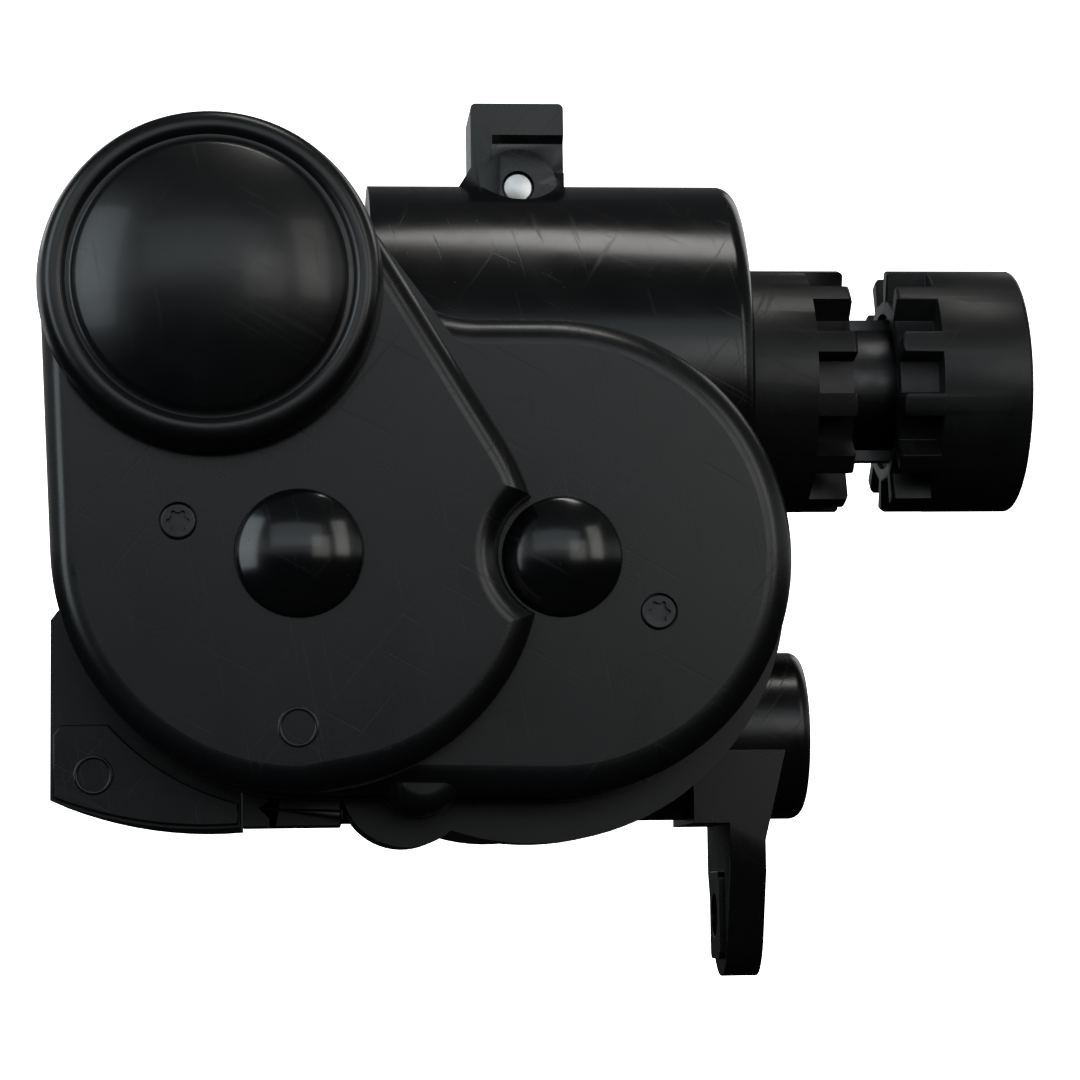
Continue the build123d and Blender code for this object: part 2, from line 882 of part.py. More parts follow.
with BuildPart() as clutch_sleeve:
    with BuildSketch(Plane.YZ.offset(sleeve_left)):
        Circle(sleeve_r)
    extrude(amount=sleeve_length)
    fillet(clutch_sleeve.edges().group_by(Axis.X)[-1], 1.0)
    with BuildSketch(Plane.YZ.offset(sleeve_left)):
        with PolarLocations(0, dog_count):
            Polygon(*dog_pockets(sleeve_r + 2, dog_root_r, dog_pocket_angle), align=None)
    extrude(amount=dog_pocket_depth, mode=Mode.SUBTRACT)
    chamfer(clutch_sleeve.edges().group_by(Axis.X)[0], 0.5)
    # shallow recess in the dog face, round the shaft
    with BuildSketch(Plane.YZ.offset(sleeve_left)):
        Circle(dog_floor_r)
    extrude(amount=1.2, mode=Mode.SUBTRACT)
    with BuildSketch(Plane.YZ.offset(sleeve_left)):
        Circle(output_r + fit)
        with PolarLocations(output_r + key_height / 2, 2, start_angle=90):
            Rectangle(key_height + 0.4, key_width + 0.3)
    extrude(amount=sleeve_length, mode=Mode.SUBTRACT)

# ---------------------------------------------------------------- lock ring
# Fixed dog ring on the barrel's end: the sleeve slides into its pockets.
with BuildPart() as lock_ring:
    with BuildSketch(Plane.YZ.offset(lock_left)):
        Circle(sleeve_r)
        Circle(output_r + 1.0, mode=Mode.SUBTRACT)
    extrude(amount=lock_ring_length)
    fillet(lock_ring.edges().group_by(Axis.X)[-1].sort_by(SortBy.RADIUS)[-1], 0.8)
    with BuildSketch(Plane.YZ.offset(lock_right)):
        with PolarLocations(0, dog_count):
            Polygon(*dog_pockets(sleeve_r + 2, dog_root_r, dog_pocket_angle), align=None)
        Circle(dog_floor_r)
    extrude(amount=-dog_pocket_depth, mode=Mode.SUBTRACT)

# ---------------------------------------------------------------- worm barrel
# Round housing over the worm wheel. The right end is closed round the output
# shaft, the left end takes a plug, and the lug stands on top.
seal_r = output_r + 4.0
bearing_r = output_r + 6.0
bearing_width = 7.0
boss_front = lug_depth / 2 + lug_boss_rise
lug_left = lug_x - lug_width / 2
lug_right = lug_x + lug_width / 2

with BuildPart(mode=Mode.PRIVATE) as lug_block:
    with BuildSketch(Plane.XZ.offset(lug_depth / 2)) as lug_side:
        Polygon(
            (lug_left - lug_foot, barrel_r - 3.0),
            (lug_left - lug_foot, barrel_r - 1.0),
            (lug_left, barrel_r + 2.8),
            (lug_left, lug_top),
            (lug_right, lug_top),
            (lug_right, barrel_r - 3.0),
            align=None,
        )
        fillet(lug_side.vertices().group_by(Axis.Y)[-1], lug_corner_r)
    extrude(amount=-lug_depth)
    # recess in the front face, with a sloping roof
    recess_top = lug_top - lug_recess_top
    with BuildSketch(Plane.YZ.offset(lug_left + lug_recess_left)):
        Polygon(
            (-lug_depth / 2, recess_top),
            (-lug_depth / 2 + lug_recess_depth, recess_top - lug_recess_depth),
            (-lug_depth / 2 + lug_recess_depth, lug_top - lug_recess_bottom),
            (-lug_depth, lug_top - lug_recess_bottom),
            (-lug_depth, recess_top),
            align=None,
        )
    extrude(amount=lug_width, mode=Mode.SUBTRACT)

with BuildPart(mode=Mode.PRIVATE) as pin_rib:
    with BuildSketch(Plane.XZ.offset(barrel_r)):
        with Locations((lug_x, lug_pin_z)):
            Circle(lug_groove_r + 1.2)
    extrude(amount=-2 * barrel_r)
    with BuildSketch(Plane.YZ.offset(barrel_left)):
        Circle(barrel_r - 0.5)
    extrude(amount=barrel_length, mode=Mode.INTERSECT)

with BuildPart() as worm_barrel:
    with BuildSketch(Plane.YZ.offset(barrel_left)):
        Circle(barrel_r)
    extrude(amount=barrel_length)
    fillet(worm_barrel.edges().group_by(Axis.X)[-1], 3.2)
    with BuildSketch(Plane.YZ.offset(barrel_left)):
        Circle(barrel_r - barrel_wall)
    extrude(amount=barrel_length - barrel_end_wall, mode=Mode.SUBTRACT)
    # bearing hub inside the end wall
    with BuildSketch(Plane.YZ.offset(barrel_right - barrel_end_wall - bearing_width)):
        Circle(bearing_r + 3.0)
    extrude(amount=bearing_width)
    with BuildSketch(Plane.YZ.offset(barrel_right - barrel_end_wall - bearing_width)):
        Circle(bearing_r)
    extrude(amount=bearing_width, mode=Mode.SUBTRACT)
    with BuildSketch(Plane.YZ.offset(barrel_right)):
        Circle(seal_r)
    extrude(amount=-barrel_end_wall, mode=Mode.SUBTRACT)
    # lug, flared at its left foot, and the rib inside that carries its pin
    add(lug_block.part)
    add(pin_rib.part)
    with BuildSketch(Plane.XZ.offset(boss_front)):
        with Locations((lug_x, lug_pin_z)):
            Circle(lug_boss_r)
    extrude(amount=-2 * boss_front)
    with BuildSketch(Plane.XZ.offset(boss_front + 1)):
        with Locations((lug_x, lug_pin_z)):
            Circle(lug_pin_r)
    extrude(amount=-2 * boss_front - 2, mode=Mode.SUBTRACT)
    # groove in the barrel in front of the boss, for the pin to be pressed in
    with BuildSketch(Plane.XZ.offset(boss_front)):
        with Locations((lug_x, lug_pin_z + lug_groove_rise)):
            Circle(lug_groove_r)
    extrude(amount=barrel_r, mode=Mode.SUBTRACT)
    # the wheel turns clear inside the rib
    with BuildSketch(Plane.YZ.offset(barrel_left)):
        Circle(wheel_r + 2.3)
    extrude(
        amount=barrel_length - barrel_end_wall - bearing_width - 0.5, mode=Mode.SUBTRACT
    )
    # opening below, where the worm reaches the wheel
    with BuildSketch(Plane.XZ.offset(worm_length / 2 + 5)):
        with Locations((second_x, second_z)):
            Circle(worm_chamber_r)
    extrude(amount=-worm_length - 10, mode=Mode.SUBTRACT)
    with BuildSketch(Plane.XZ.offset(-housing_front)):
        with Locations((second_x, second_z)):
            Circle(worm_bearing_r)
    extrude(amount=housing_front - worm_rear_end, mode=Mode.SUBTRACT)

with BuildPart() as lug_pin:
    with BuildSketch(Plane.XZ.offset(boss_front - lug_pin_sink)):
        with Locations((lug_x, lug_pin_z)):
            Circle(lug_pin_r)
    extrude(amount=-2 * (boss_front - lug_pin_sink))
    chamfer(lug_pin.edges().filter_by(GeomType.CIRCLE), 0.4)

with BuildPart() as barrel_end_plug:
    with BuildSketch(Plane.YZ.offset(barrel_left)):
        Circle(barrel_r - barrel_wall)
    extrude(amount=barrel_plug)
    with BuildSketch(Plane.YZ.offset(barrel_left + 2.0)):
        Circle(bearing_r)
    extrude(amount=barrel_plug, mode=Mode.SUBTRACT)
    with BuildSketch(Plane.YZ.offset(barrel_left)):
        with PolarLocations(barrel_r - barrel_wall - 6.0, 6):
            Circle(3.0)
    extrude(amount=1.0, mode=Mode.SUBTRACT)


def bearing_of(start, width, outer, inner):
    """A plain ring bearing on the output axis."""
    with BuildPart(mode=Mode.PRIVATE) as ring:
        with BuildSketch(Plane.YZ.offset(start)):
            Circle(outer)
            Circle(inner, mode=Mode.SUBTRACT)
        extrude(amount=width)
        chamfer(ring.edges(), 0.3)
    return ring.part


with BuildPart() as output_bearing_left:
    add(bearing_of(barrel_left + 2.0, barrel_plug - 2.0, bearing_r, output_r + fit))

with BuildPart() as output_bearing_right:
    right_start = barrel_right - barrel_end_wall - bearing_width
    add(bearing_of(right_start, bearing_width, bearing_r, output_r + fit))

with BuildPart() as shaft_seal:
    with BuildSketch(Plane.YZ.offset(barrel_right - barrel_end_wall)):
        Circle(seal_r)
        Circle(output_r + fit, mode=Mode.SUBTRACT)
    extrude(amount=barrel_end_wall)

# ---------------------------------------------------------------- rear housing
# Carries the gear shafts, the motor, the worm and the lower tube. A round drum
# stands behind the second gear; the barrel lies in a saddle across it.
boss_x = bump_x - 2.1
boss_z = bump_z - 1.5
boss_rear = case_rear


def corner_outline(top, inset):
    """The corner box's front: a rounded top corner and a gently curved lower edge."""
    left = corner_left + inset
    bottom = corner_bottom + inset
    with BuildSketch(mode=Mode.PRIVATE) as corner:
        with BuildLine():
            low = ThreePointArc(
                (left, bottom + corner_rise),
                (left + 12.0, bottom + 1.3),
                (corner_right - inset / 2, bottom),
            )
            Polyline(
                low @ 1,
                (corner_right - inset / 2, top),
                (left + 1.3, top),
                (left, top - 1.7),
                low @ 0,
            )
        make_face()
    return corner.sketch


saddle_clear_x = 14.0
tray_inset = 0.6
with BuildPart() as rear_housing:
    # shallow tray behind the cover, deeper on the motor's side
    with BuildSketch(Plane.XZ.offset(-case_rear)):
        add(left_outline(tray_inset))
    extrude(amount=case_rear - housing_front)
    with BuildSketch(Plane.XZ.offset(-drum_rear)):
        add(cover_outline(tray_inset))
    extrude(amount=drum_rear - housing_front)
    # drum behind the second gear
    with BuildSketch(Plane.XZ.offset(-housing_rear)):
        with Locations((back_x, back_z)):
            Circle(back_r)
    extrude(amount=housing_rear - housing_front)
    fillet(rear_housing.edges().group_by(Axis.Y)[-1], 3.0)
    # wide rim of the drum, just behind the cover
    with BuildSketch(Plane.XZ.offset(-drum_rear)):
        with Locations((drum_x, drum_z)):
            Circle(drum_r)
    extrude(amount=drum_rear - housing_front)
    # motor lobe
    with BuildSketch(Plane.XZ.offset(-motor_lobe_rear)):
        with Locations((motor_x, motor_z)):
            Circle(motor_lobe_r - 1.4)
    extrude(amount=motor_lobe_rear - housing_front)
    # boss of the lower case screw
    with BuildSketch(Plane.XZ.offset(-boss_rear)):
        with Locations((boss_x, boss_z)):
            Circle(boss_r)
    extrude(amount=boss_rear - housing_front)
    # corner box at the lower left
    with BuildSketch(Plane.XZ.offset(-corner_rear)):
        add(corner_outline(corner_top, 0))
    extrude(amount=corner_rear - housing_front)
    # rib between the corner box and the latch
    with BuildSketch(Plane.XZ.offset(-latch_rear)):
        with Locations(((rib_left + rib_right) / 2, corner_bottom + 0.1)):
            Rectangle(rib_right - rib_left, 8.0, align=(Align.CENTER, Align.MIN))
    extrude(amount=latch_rear - housing_front)
    # block behind the latch
    with BuildSketch(Plane.XZ.offset(-latch_rear)):
        with Locations(((rib_left + latch_right) / 2, corner_bottom + 0.1)):
            Rectangle(latch_right - rib_left, 8.0, align=(Align.CENTER, Align.MIN))
    extrude(amount=latch_rear - latch_back)
    # hollow of the tray, leaving the wall that carries the axle bearings
    with BuildSketch(Plane.XZ.offset(-(case_rear - case_wall))):
        add(left_outline(tray_inset + case_wall))
        with Locations((motor_x, motor_z)):
            Circle(can_r + 2.0, mode=Mode.SUBTRACT)
        with Locations((first_x, first_z)):
            Circle(axle_bearing_r + 2.6, mode=Mode.SUBTRACT)
        with Locations((left_post_x, left_post_z)):
            Circle(post_r, mode=Mode.SUBTRACT)
        with Locations((boss_x, boss_z)):
            Circle(boss_r, mode=Mode.SUBTRACT)
        with Locations((back_x, back_z)):
            Circle(back_r, mode=Mode.SUBTRACT)
    extrude(amount=case_rear - case_wall - housing_front, mode=Mode.SUBTRACT)
    # motor pocket
    with BuildSketch(Plane.XZ.offset(-can_rear)):
        with Locations((motor_x, motor_z)):
            Circle(can_r)
    extrude(amount=can_rear - housing_front, mode=Mode.SUBTRACT)
    # worm chamber, with a bearing seat in front of it and one behind
    with BuildSketch(Plane.XZ.offset(worm_length / 2 + 5)):
        with Locations((second_x, second_z)):
            Circle(worm_chamber_r)
    extrude(amount=-worm_length - 10, mode=Mode.SUBTRACT)
    with BuildSketch(Plane.XZ.offset(-housing_front)):
        with Locations((second_x, second_z)):
            Circle(worm_bearing_r)
    extrude(amount=housing_front - worm_rear_end, mode=Mode.SUBTRACT)
    with BuildSketch(Plane.XZ.offset(-housing_front)):
        with Locations((first_x, first_z)):
            Circle(axle_bearing_r)
    extrude(amount=-axle_bearing_length, mode=Mode.SUBTRACT)
    # saddle for the barrel, open to the right below the dog rings
    with BuildSketch(Plane.YZ.offset(barrel_left - 1.0)):
        Circle(barrel_r)
    extrude(amount=barrel_length + saddle_clear_x, mode=Mode.SUBTRACT)
    # bore of the lower tube
    with BuildSketch(Plane.YZ.offset(tube_left - 2)):
        with Locations((0, tube_z)):
            Circle(tube_r + bush_wall)
    extrude(amount=tube_length + 20, mode=Mode.SUBTRACT)
    # case screw holes from behind
    with BuildSketch(Plane.XZ.offset(-case_rear)):
        with Locations((bump_x, bump_z), (left_post_x, left_post_z)):
            Circle(case_screw_r + slip)
    extrude(amount=case_rear - housing_front + 1, mode=Mode.SUBTRACT)
    # relief for the screw heads
    with BuildSketch(Plane.XZ.offset(-case_rear)):
        with Locations((bump_x, bump_z)):
            Circle(3.4)
    extrude(amount=case_rear - lower_screw_seat, mode=Mode.SUBTRACT)
    with BuildSketch(Plane.XZ.offset(-case_rear)):
        with Locations((left_post_x, left_post_z)):
            Circle(3.4)
    extrude(amount=case_rear - left_screw_seat, mode=Mode.SUBTRACT)
    # three blind holes in the back face
    with BuildSketch(Plane.XZ.offset(-housing_rear)):
        with Locations((back_x, mount_hole_z)):
            with PolarLocations(mount_circle_r, 3, start_angle=30):
                Circle(mount_hole_r)
    extrude(amount=mount_hole_depth, mode=Mode.SUBTRACT)

# ---------------------------------------------------------------- bearings of the gear shafts
with BuildPart() as worm_bearing_front:
    with BuildSketch(Plane.XZ.offset(-(housing_front + worm_bearing_length))):
        with Locations((second_x, second_z)):
            Circle(worm_bearing_r)
            Circle(worm_shaft_r + fit, mode=Mode.SUBTRACT)
    extrude(amount=worm_bearing_length)

with BuildPart() as worm_bearing_rear:
    with BuildSketch(Plane.XZ.offset(-worm_rear_end)):
        with Locations((second_x, second_z)):
            Circle(worm_bearing_r)
            Circle(worm_shaft_r + fit, mode=Mode.SUBTRACT)
    extrude(amount=worm_bearing_length)

with BuildPart() as axle_bearing:
    with BuildSketch(Plane.XZ.offset(-(housing_front + axle_bearing_length))):
        with Locations((first_x, first_z)):
            Circle(axle_bearing_r)
            Circle(axle_r + fit, mode=Mode.SUBTRACT)
    extrude(amount=axle_bearing_length)


# ---------------------------------------------------------------- case screws
def case_screw(x, z, seat):
    """A screw driven from behind, through the housing into the cover."""
    with BuildPart(mode=Mode.PRIVATE) as screw:
        with BuildSketch(Plane.XZ.offset(-(seat + 2.7))):
            with Locations((x, z)):
                Circle(3.2)
        extrude(amount=2.7)
        with BuildSketch(Plane.XZ.offset(-seat)):
            with Locations((x, z)):
                Circle(case_screw_r)
        extrude(amount=seat - (cover_rear - case_screw_bite))
        with BuildSketch(Plane.XZ.offset(-(seat + 2.7))):
            with Locations((x, z)):
                RegularPolygon(1.5, 6)
        extrude(amount=1.5, mode=Mode.SUBTRACT)
    return screw.part


with BuildPart() as case_screw_lower:
    add(case_screw(bump_x, bump_z, lower_screw_seat))

with BuildPart() as case_screw_left:
    add(case_screw(left_post_x, left_post_z, left_screw_seat))

# ---------------------------------------------------------------- corner cover and latch
with BuildPart() as corner_cover:
    with BuildSketch(Plane.XZ.offset(-housing_front)):
        add(corner_outline(corner_panel_top, 0.5))
        with Locations((first_lobe_x, first_lobe_z)):
            Circle(first_lobe_r + panel_gap, mode=Mode.SUBTRACT)
    extrude(amount=panel_raise)

# the latch is a block with a wedge-shaped tongue on its front
latch_middle = (latch_left + latch_right) / 2
with BuildPart() as housing_latch:
    with BuildSketch(Plane.XZ.offset(-latch_back)):
        with Locations((latch_middle, corner_bottom + 0.1)):
            Rectangle(latch_right - latch_left, 8.0, align=(Align.CENTER, Align.MIN))
        add(cover_outline(tray_inset), mode=Mode.SUBTRACT)
        with Locations((boss_x, boss_z)):
            Circle(boss_r + 0.1, mode=Mode.SUBTRACT)
    extrude(amount=latch_back - housing_front)
    with BuildSketch(Plane.XZ.offset(-housing_front)):
        Polygon(
            (latch_left + 0.8, corner_bottom + 2.9),
            (latch_right - 0.1, corner_bottom + 2.6),
            (latch_right - 0.1, corner_bottom + 1.2),
            align=None,
        )
    extrude(amount=0.5)

# ---------------------------------------------------------------- lower tube and lever
with BuildPart() as lever_tube:
    with BuildSketch(Plane.YZ.offset(tube_left)):
        with Locations((0, tube_z)):
            Circle(tube_r)
    extrude(amount=tube_length)
    fillet(lever_tube.edges().group_by(Axis.X)[-1], 2.4)
    with BuildSketch(Plane.YZ.offset(tube_left)):
        with Locations((0, tube_z)):
            Circle(tube_bore_r)
    extrude(amount=tube_length, mode=Mode.SUBTRACT)

bush_reach = sqrt(back_r**2 - (tube_z - tube_r - bush_wall - back_z) ** 2)


def bush_of(start):
    with BuildPart(mode=Mode.PRIVATE) as bush:
        with BuildSketch(Plane.YZ.offset(start)):
            with Locations((0, tube_z)):
                Circle(tube_r + bush_wall)
                Circle(tube_r + fit, mode=Mode.SUBTRACT)
        extrude(amount=bush_length)
    return bush.part


with BuildPart() as tube_bush_left:
    add(bush_of(back_x - bush_reach))

with BuildPart() as tube_bush_right:
    add(bush_of(back_x + bush_reach - bush_length))

lever_eye_z = tube_z - lever_reach
lever_top = tube_z - 3.3
lever_right = lever_left + lever_thick
crank_z = tube_z - 19.6
hub_left = lever_left - 6.5
hub_bottom = tube_z - 16.5
lever_half = 15.8
with BuildPart() as lever_arm:
    with BuildSketch(Plane.XZ.offset(lever_half)):
        Polygon(
            (hub_left, lever_top + 1.2),
            (hub_left, hub_bottom),
            (lever_left, hub_bottom),
            (lever_left, lever_eye_z - lever_end_r - 1.0),
            (lever_right, lever_eye_z - lever_end_r - 1.0),
            (lever_right, crank_z),
            (lever_right + lever_crank, lever_top),
            (lever_left + lever_crank - 4.0, lever_top),
            (lever_left + lever_crank - 4.0, lever_top + 1.2),
            align=None,
        )
    extrude(amount=-2 * lever_half)
    with BuildSketch(Plane.YZ.offset(hub_left - 1)):
        with BuildSketch(mode=Mode.PRIVATE) as side:
            with Locations((0, lever_eye_z)):
                Circle(lever_end_r)
            with Locations((0, lever_top - 10.0)):
                Rectangle(2 * lever_half - 0.4, 24.0)
            make_hull()
        add(side.sketch)
    extrude(amount=lever_right + lever_crank + 2 - hub_left, mode=Mode.INTERSECT)
    # shallow pocket in the right face, leaving a rim
    with BuildSketch(Plane.YZ.offset(lever_right)):
        with BuildSketch(mode=Mode.PRIVATE) as pocket:
            with Locations((0, lever_eye_z)):
                Circle(lever_end_r - 2.2)
            with Locations((0, crank_z - 6.0)):
                Rectangle(2 * lever_half - 6.0, 6.0)
            make_hull()
        add(pocket.sketch)
        with Locations((0, lever_eye_z)):
            Circle(lever_eye_r + eye_bush_wall + 2.0, mode=Mode.SUBTRACT)
    extrude(amount=-1.6, mode=Mode.SUBTRACT)
    with BuildSketch(Plane.YZ.offset(hub_left - 1)):
        with Locations((0, tube_z)):
            Circle(tube_r)
        with Locations((0, lever_eye_z)):
            Circle(lever_eye_r + eye_bush_wall)
    extrude(amount=lever_right + lever_crank + 2 - hub_left, mode=Mode.SUBTRACT)

with BuildPart() as lever_eye_bush:
    with BuildSketch(Plane.YZ.offset(lever_left)):
        with Locations((0, lever_eye_z)):
            Circle(lever_eye_r + eye_bush_wall)
    extrude(amount=lever_thick)
    with BuildSketch(Plane.YZ.offset(lever_left - eye_flange)):
        with Locations((0, lever_eye_z)):
            RectangleRounded(eye_flange_width, eye_flange_height, 1.5)
    extrude(amount=eye_flange)
    with BuildSketch(Plane.YZ.offset(lever_left - eye_flange)):
        with Locations((0, lever_eye_z)):
            Circle(lever_eye_r)
    extrude(amount=eye_flange + lever_thick, mode=Mode.SUBTRACT)

# ---------------------------------------------------------------- one file per piece
front_cover.part.label = "front_cover"
export_step(front_cover.part, "parts/front_cover.step")
cover_gasket.part.label = "cover_gasket"
export_step(cover_gasket.part, "parts/cover_gasket.step")
first_bearing_cap.part.label = "first_bearing_cap"
export_step(first_bearing_cap.part, "parts/first_bearing_cap.step")
second_bearing_cap.part.label = "second_bearing_cap"
export_step(second_bearing_cap.part, "parts/second_bearing_cap.step")
cover_screw_left.part.label = "cover_screw_left"
export_step(cover_screw_left.part, "parts/cover_screw_left.step")
cover_screw_right.part.label = "cover_screw_right"
export_step(cover_screw_right.part, "parts/cover_screw_right.step")
motor_cap.part.label = "motor_cap"
export_step(motor_cap.part, "parts/motor_cap.step")
cap_seal.part.label = "cap_seal"
export_step(cap_seal.part, "parts/cap_seal.step")
motor_can.part.label = "motor_can"
export_step(motor_can.part, "parts/motor_can.step")
motor_end_bell.part.label = "motor_end_bell"
export_step(motor_end_bell.part, "parts/motor_end_bell.step")
magnet_left.part.label = "magnet_left"
export_step(magnet_left.part, "parts/magnet_left.step")
magnet_right.part.label = "magnet_right"
export_step(magnet_right.part, "parts/magnet_right.step")
brush_left.part.label = "brush_left"
export_step(brush_left.part, "parts/brush_left.step")
brush_right.part.label = "brush_right"
export_step(brush_right.part, "parts/brush_right.step")
rotor_core.part.label = "rotor_core"
export_step(rotor_core.part, "parts/rotor_core.step")
commutator.part.label = "commutator"
export_step(commutator.part, "parts/commutator.step")
motor_shaft.part.label = "motor_shaft"
export_step(motor_shaft.part, "parts/motor_shaft.step")
motor_pinion.part.label = "motor_pinion"
export_step(motor_pinion.part, "parts/motor_pinion.step")
first_gear.part.label = "first_gear"
export_step(first_gear.part, "parts/first_gear.step")
first_axle.part.label = "first_axle"
export_step(first_axle.part, "parts/first_axle.step")
second_gear.part.label = "second_gear"
export_step(second_gear.part, "parts/second_gear.step")
worm_shaft.part.label = "worm_shaft"
export_step(worm_shaft.part, "parts/worm_shaft.step")
worm_wheel.part.label = "worm_wheel"
export_step(worm_wheel.part, "parts/worm_wheel.step")
output_shaft.part.label = "output_shaft"
export_step(output_shaft.part, "parts/output_shaft.step")
sleeve_key_upper.part.label = "sleeve_key_upper"
export_step(sleeve_key_upper.part, "parts/sleeve_key_upper.step")
sleeve_key_lower.part.label = "sleeve_key_lower"
export_step(sleeve_key_lower.part, "parts/sleeve_key_lower.step")
wheel_circlip.part.label = "wheel_circlip"
export_step(wheel_circlip.part, "parts/wheel_circlip.step")
clutch_sleeve.part.label = "clutch_sleeve"
export_step(clutch_sleeve.part, "parts/clutch_sleeve.step")
lock_ring.part.label = "lock_ring"
export_step(lock_ring.part, "parts/lock_ring.step")
worm_barrel.part.label = "worm_barrel"
export_step(worm_barrel.part, "parts/worm_barrel.step")
lug_pin.part.label = "lug_pin"
export_step(lug_pin.part, "parts/lug_pin.step")
barrel_end_plug.part.label = "barrel_end_plug"
export_step(barrel_end_plug.part, "parts/barrel_end_plug.step")
output_bearing_left.part.label = "output_bearing_left"
export_step(output_bearing_left.part, "parts/output_bearing_left.step")
output_bearing_right.part.label = "output_bearing_right"
export_step(output_bearing_right.part, "parts/output_bearing_right.step")
shaft_seal.part.label = "shaft_seal"
export_step(shaft_seal.part, "parts/shaft_seal.step")
rear_housing.part.label = "rear_housing"
export_step(rear_housing.part, "parts/rear_housing.step")
worm_bearing_front.part.label = "worm_bearing_front"
export_step(worm_bearing_front.part, "parts/worm_bearing_front.step")
worm_bearing_rear.part.label = "worm_bearing_rear"
export_step(worm_bearing_rear.part, "parts/worm_bearing_rear.step")
axle_bearing.part.label = "axle_bearing"
export_step(axle_bearing.part, "parts/axle_bearing.step")
case_screw_lower.part.label = "case_screw_lower"
export_step(case_screw_lower.part, "parts/case_screw_lower.step")
case_screw_left.part.label = "case_screw_left"
export_step(case_screw_left.part, "parts/case_screw_left.step")
corner_cover.part.label = "corner_cover"
export_step(corner_cover.part, "parts/corner_cover.step")
housing_latch.part.label = "housing_latch"
export_step(housing_latch.part, "parts/housing_latch.step")
lever_tube.part.label = "lever_tube"
export_step(lever_tube.part, "parts/lever_tube.step")
tube_bush_left.part.label = "tube_bush_left"
export_step(tube_bush_left.part, "parts/tube_bush_left.step")
tube_bush_right.part.label = "tube_bush_right"
export_step(tube_bush_right.part, "parts/tube_bush_right.step")
lever_arm.part.label = "lever_arm"
export_step(lever_arm.part, "parts/lever_arm.step")
lever_eye_bush.part.label = "lever_eye_bush"
export_step(lever_eye_bush.part, "parts/lever_eye_bush.step")
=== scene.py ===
from math import cos, pi, radians, sin, sqrt

import bmesh
import bpy
from mathutils import Matrix, Vector


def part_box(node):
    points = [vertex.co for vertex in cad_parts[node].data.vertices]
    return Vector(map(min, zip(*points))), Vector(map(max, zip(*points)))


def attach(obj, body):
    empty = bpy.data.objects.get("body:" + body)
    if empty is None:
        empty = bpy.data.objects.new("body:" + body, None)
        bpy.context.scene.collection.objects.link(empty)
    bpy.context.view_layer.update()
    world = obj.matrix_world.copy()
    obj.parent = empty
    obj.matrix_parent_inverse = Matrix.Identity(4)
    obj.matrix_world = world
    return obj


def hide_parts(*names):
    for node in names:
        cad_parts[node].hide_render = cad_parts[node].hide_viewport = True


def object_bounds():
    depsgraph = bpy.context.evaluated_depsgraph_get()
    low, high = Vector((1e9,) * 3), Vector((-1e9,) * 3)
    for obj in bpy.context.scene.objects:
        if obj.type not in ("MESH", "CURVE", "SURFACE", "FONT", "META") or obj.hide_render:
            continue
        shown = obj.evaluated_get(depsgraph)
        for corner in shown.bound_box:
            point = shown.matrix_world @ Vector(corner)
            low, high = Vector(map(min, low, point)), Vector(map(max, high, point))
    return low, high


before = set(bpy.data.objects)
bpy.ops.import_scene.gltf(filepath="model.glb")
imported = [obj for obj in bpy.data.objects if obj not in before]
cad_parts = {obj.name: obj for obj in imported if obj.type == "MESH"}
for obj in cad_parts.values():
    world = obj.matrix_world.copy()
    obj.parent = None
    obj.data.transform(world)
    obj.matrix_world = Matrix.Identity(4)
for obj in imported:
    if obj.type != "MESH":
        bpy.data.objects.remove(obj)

cad_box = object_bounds()
mm = 0.001

# ---------------------------------------------------------------- studio
# A pale floor, white surroundings and soft strip lights either side of the
# head, which draw the two upright reflections on its round caps.
turn, lift, roll = radians(-4.65), radians(-6.4), radians(-0.8)
camera_back = Vector((sin(turn) * cos(lift), -cos(turn) * cos(lift), sin(lift)))
level_right = Vector((cos(turn), sin(turn), 0))
level_up = camera_back.cross(level_right)
camera_right = level_right * cos(roll) + level_up * sin(roll)
camera_up = level_up * cos(roll) - level_right * sin(roll)
camera_data = bpy.data.cameras.new("camera")
camera_data.lens = 106.7
camera_data.sensor_width = 36
camera_data.clip_start = 0.01
camera = bpy.data.objects.new("camera", camera_data)
placing = Matrix((camera_right, camera_up, camera_back)).transposed().to_4x4()
placing.translation = (-0.1376, -0.5925, -0.0946)
camera.matrix_world = placing
bpy.context.scene.collection.objects.link(camera)
bpy.context.scene.camera = camera

# The camera sees plain white. Everything else sees a dim room, darkest below.
world = bpy.data.worlds.new("studio")
bpy.context.scene.world = world
bpy.context.scene.view_settings.view_transform = "Standard"
world.use_nodes = True
room = world.node_tree
room.nodes.clear()
room_side = room.nodes.new("ShaderNodeTexCoord")
room_split = room.nodes.new("ShaderNodeSeparateXYZ")
room.links.new(room_side.outputs["Generated"], room_split.inputs[0])
room_height = room.nodes.new("ShaderNodeMapRange")
room_height.inputs["From Min"].default_value = -1.0
room.links.new(room_split.outputs["Z"], room_height.inputs["Value"])
room_ramp = room.nodes.new("ShaderNodeValToRGB")
ramp = room_ramp.color_ramp
ramp.elements[0].position = 0.47
ramp.elements[0].color = (0.004, 0.004, 0.005, 1)
ramp.elements[1].position = 1.0
ramp.elements[1].color = (0.05, 0.052, 0.056, 1)
for spot, shade in ((0.51, 0.03), (0.56, 0.44), (0.63, 0.36), (0.70, 0.10), (0.90, 0.05)):
    ramp.elements.new(spot).color = (shade * 0.94, shade * 0.98, shade, 1)
room.links.new(room_height.outputs[0], room_ramp.inputs[0])
room_light = room.nodes.new("ShaderNodeBackground")
room_light.inputs["Strength"].default_value = 1.0
room.links.new(room_ramp.outputs[0], room_light.inputs["Color"])
white_view = room.nodes.new("ShaderNodeBackground")
white_view.inputs["Strength"].default_value = 3.0
